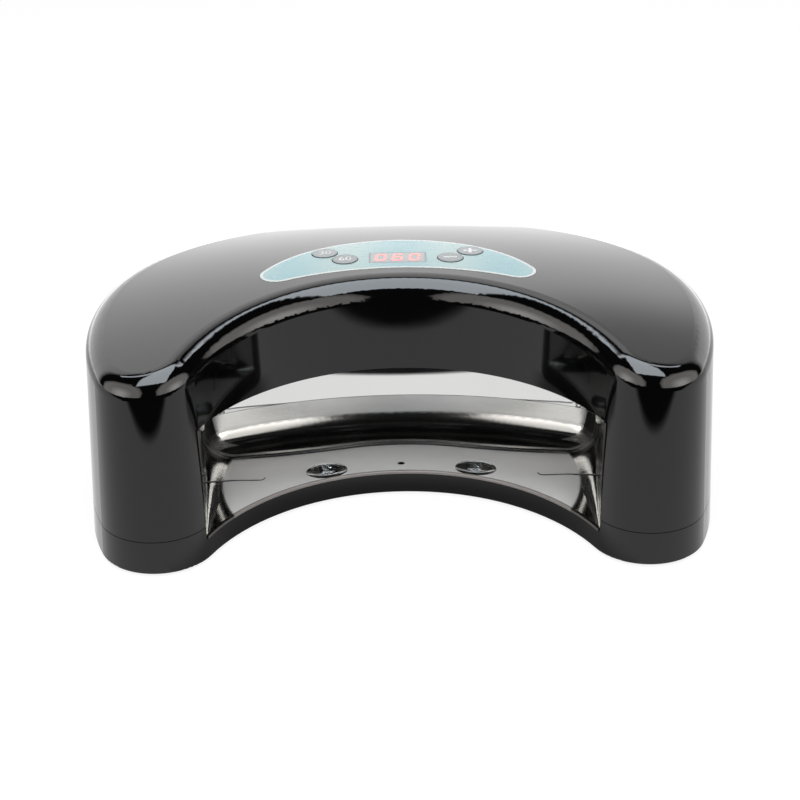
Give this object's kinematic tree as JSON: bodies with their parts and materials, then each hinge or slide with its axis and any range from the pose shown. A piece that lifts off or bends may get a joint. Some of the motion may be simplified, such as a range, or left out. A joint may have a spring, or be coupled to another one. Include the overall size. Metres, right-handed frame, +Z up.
{
  "type": "led nail lamp",
  "caption": "Arched lamp that cures nail gel: an open front for a hand, mirrored inside with round lights in floor and ceiling, and a top panel of push buttons and a number display.",
  "frame": {"origin": "on the surface it stands on, at the middle of its width and half way along its depth", "axes": "+X to the right of a user who faces the opening, -Y towards the user and out of the opening, +Z up"},
  "size_m": [0.262, 0.1626, 0.0992],
  "materials": {
    "housing_black": "glossy",
    "base_black": "satin",
    "panel_print": "printed film",
    "window_grey": "tinted film",
    "button_grey": "printed cap",
    "board_green": "solder mask",
    "switch_black": "matt",
    "display_dark": "glossy",
    "reflector": "mirror plated",
    "floor_lens": "dimpled clear plastic",
    "light_cup": "mirror plated",
    "emitter": "phosphor",
    "board_white": "white board",
    "sensor_dark": "dark infrared window",
    "ceiling_dark": "satin",
    "clear_lens": "clear",
    "sink_metal": "bare",
    "component_dark": "matt",
    "inlet_black": "matt",
    "ribbon_grey": "matt",
    "wire_red": "insulated",
    "wire_black": "insulated",
    "wire_white": "insulated",
    "screw_steel": "plated",
    "foot_rubber": "matt"
  },
  "bodies": {
    "housing": {"upper_housing": "housing_black", "base_tray": "base_black", "control_panel_overlay": "panel_print", "display_window": "window_grey", "control_board": "board_green", "button_switches": "switch_black", "display_module": "display_dark", "floor_reflector": "reflector", "rear_bowl_reflector": "reflector", "back_wall_reflector": "reflector", "floor_led_lenses": "floor_lens", "floor_led_cups": "light_cup", "floor_led_emitters": "emitter", "floor_led_boards": "board_white", "hand_sensor": "sensor_dark", "ceiling_panel": "ceiling_dark", "ceiling_led_lenses": "clear_lens", "ceiling_led_emitters": "emitter", "ceiling_led_boards": "board_white", "heat_sink": "sink_metal", "driver_board": "board_green", "driver_components": "component_dark", "dc_inlet": "inlet_black", "ribbon_cable": "ribbon_grey", "led_wire_plus": "wire_red", "led_wire_minus": "wire_black", "floor_led_wires": "wire_white", "housing_screws": "screw_steel", "board_screws": "screw_steel", "rubber_feet": "foot_rubber"},
    "preset_button_rear_body": {"preset_button_rear": "button_grey"},
    "preset_button_front_body": {"preset_button_front": "button_grey"},
    "minus_button_body": {"minus_button": "button_grey"},
    "plus_button_body": {"plus_button": "button_grey"}
  },
  "joints": [
    {"name": "preset_button_rear_press", "type": "slide", "parent": "housing", "child": "preset_button_rear_body", "axis": [0, 0, -1], "range_m": [0, 0.0005], "stiffness_N_per_m": 2500},
    {"name": "preset_button_front_press", "type": "slide", "parent": "housing", "child": "preset_button_front_body", "axis": [0, 0, -1], "range_m": [0, 0.0005], "stiffness_N_per_m": 2500},
    {"name": "minus_button_press", "type": "slide", "parent": "housing", "child": "minus_button_body", "axis": [0, 0, -1], "range_m": [0, 0.0005], "stiffness_N_per_m": 2500},
    {"name": "plus_button_press", "type": "slide", "parent": "housing", "child": "plus_button_body", "axis": [0, 0, -1], "range_m": [0, 0.0005], "stiffness_N_per_m": 2500}
  ]
}
